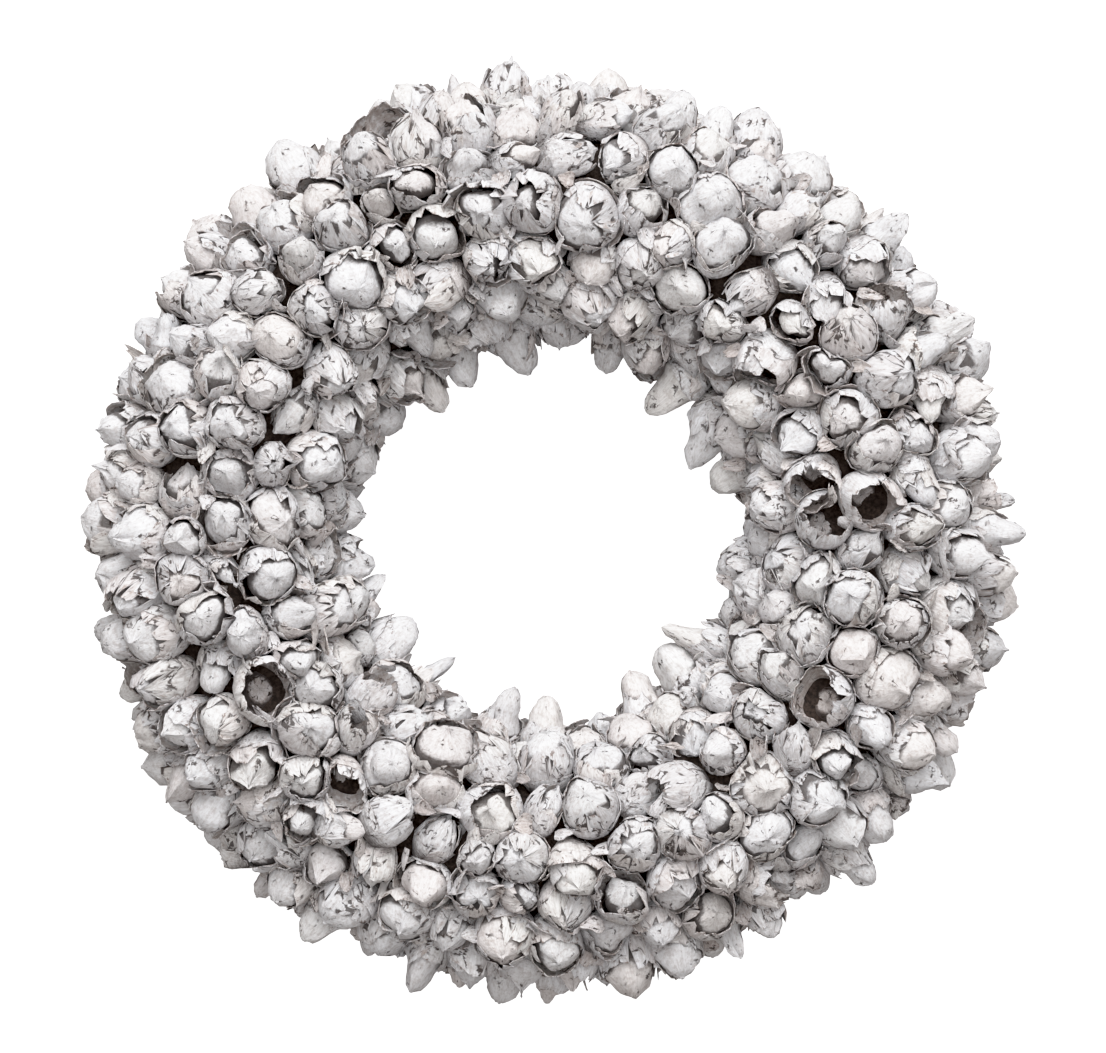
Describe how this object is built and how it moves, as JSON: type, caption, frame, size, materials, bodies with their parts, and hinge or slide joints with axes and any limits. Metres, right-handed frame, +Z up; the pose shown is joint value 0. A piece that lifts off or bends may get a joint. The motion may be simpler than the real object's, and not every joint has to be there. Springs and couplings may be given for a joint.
{
  "type": "coconut bud wreath",
  "caption": "Round wreath of whitewashed, dried coconut buds glued to a bound straw ring, with an open hole and a flat bare back.",
  "frame": {"origin": "on the surface that the wreath lies on, under the middle of its hole", "axes": "+Z up, out of the wreath's front; +Y towards the top of the picture; +X towards its right"},
  "size_m": [0.595, 0.6069, 0.1492],
  "materials": {
    "whitewashed_buds": "matte",
    "straw": "matte",
    "twine": "matte"
  },
  "bodies": {
    "root": {"straw_ring": "straw", "binding_twine": "twine", "bud_cluster_01": "whitewashed_buds", "bud_cluster_02": "whitewashed_buds", "bud_cluster_03": "whitewashed_buds", "bud_cluster_04": "whitewashed_buds", "bud_cluster_05": "whitewashed_buds", "bud_cluster_06": "whitewashed_buds", "bud_cluster_07": "whitewashed_buds", "bud_cluster_08": "whitewashed_buds", "bud_cluster_09": "whitewashed_buds", "bud_cluster_10": "whitewashed_buds", "bud_cluster_11": "whitewashed_buds", "bud_cluster_12": "whitewashed_buds", "bud_cluster_13": "whitewashed_buds", "bud_cluster_14": "whitewashed_buds", "bud_cluster_15": "whitewashed_buds", "bud_cluster_16": "whitewashed_buds"}
  },
  "joints": []
}
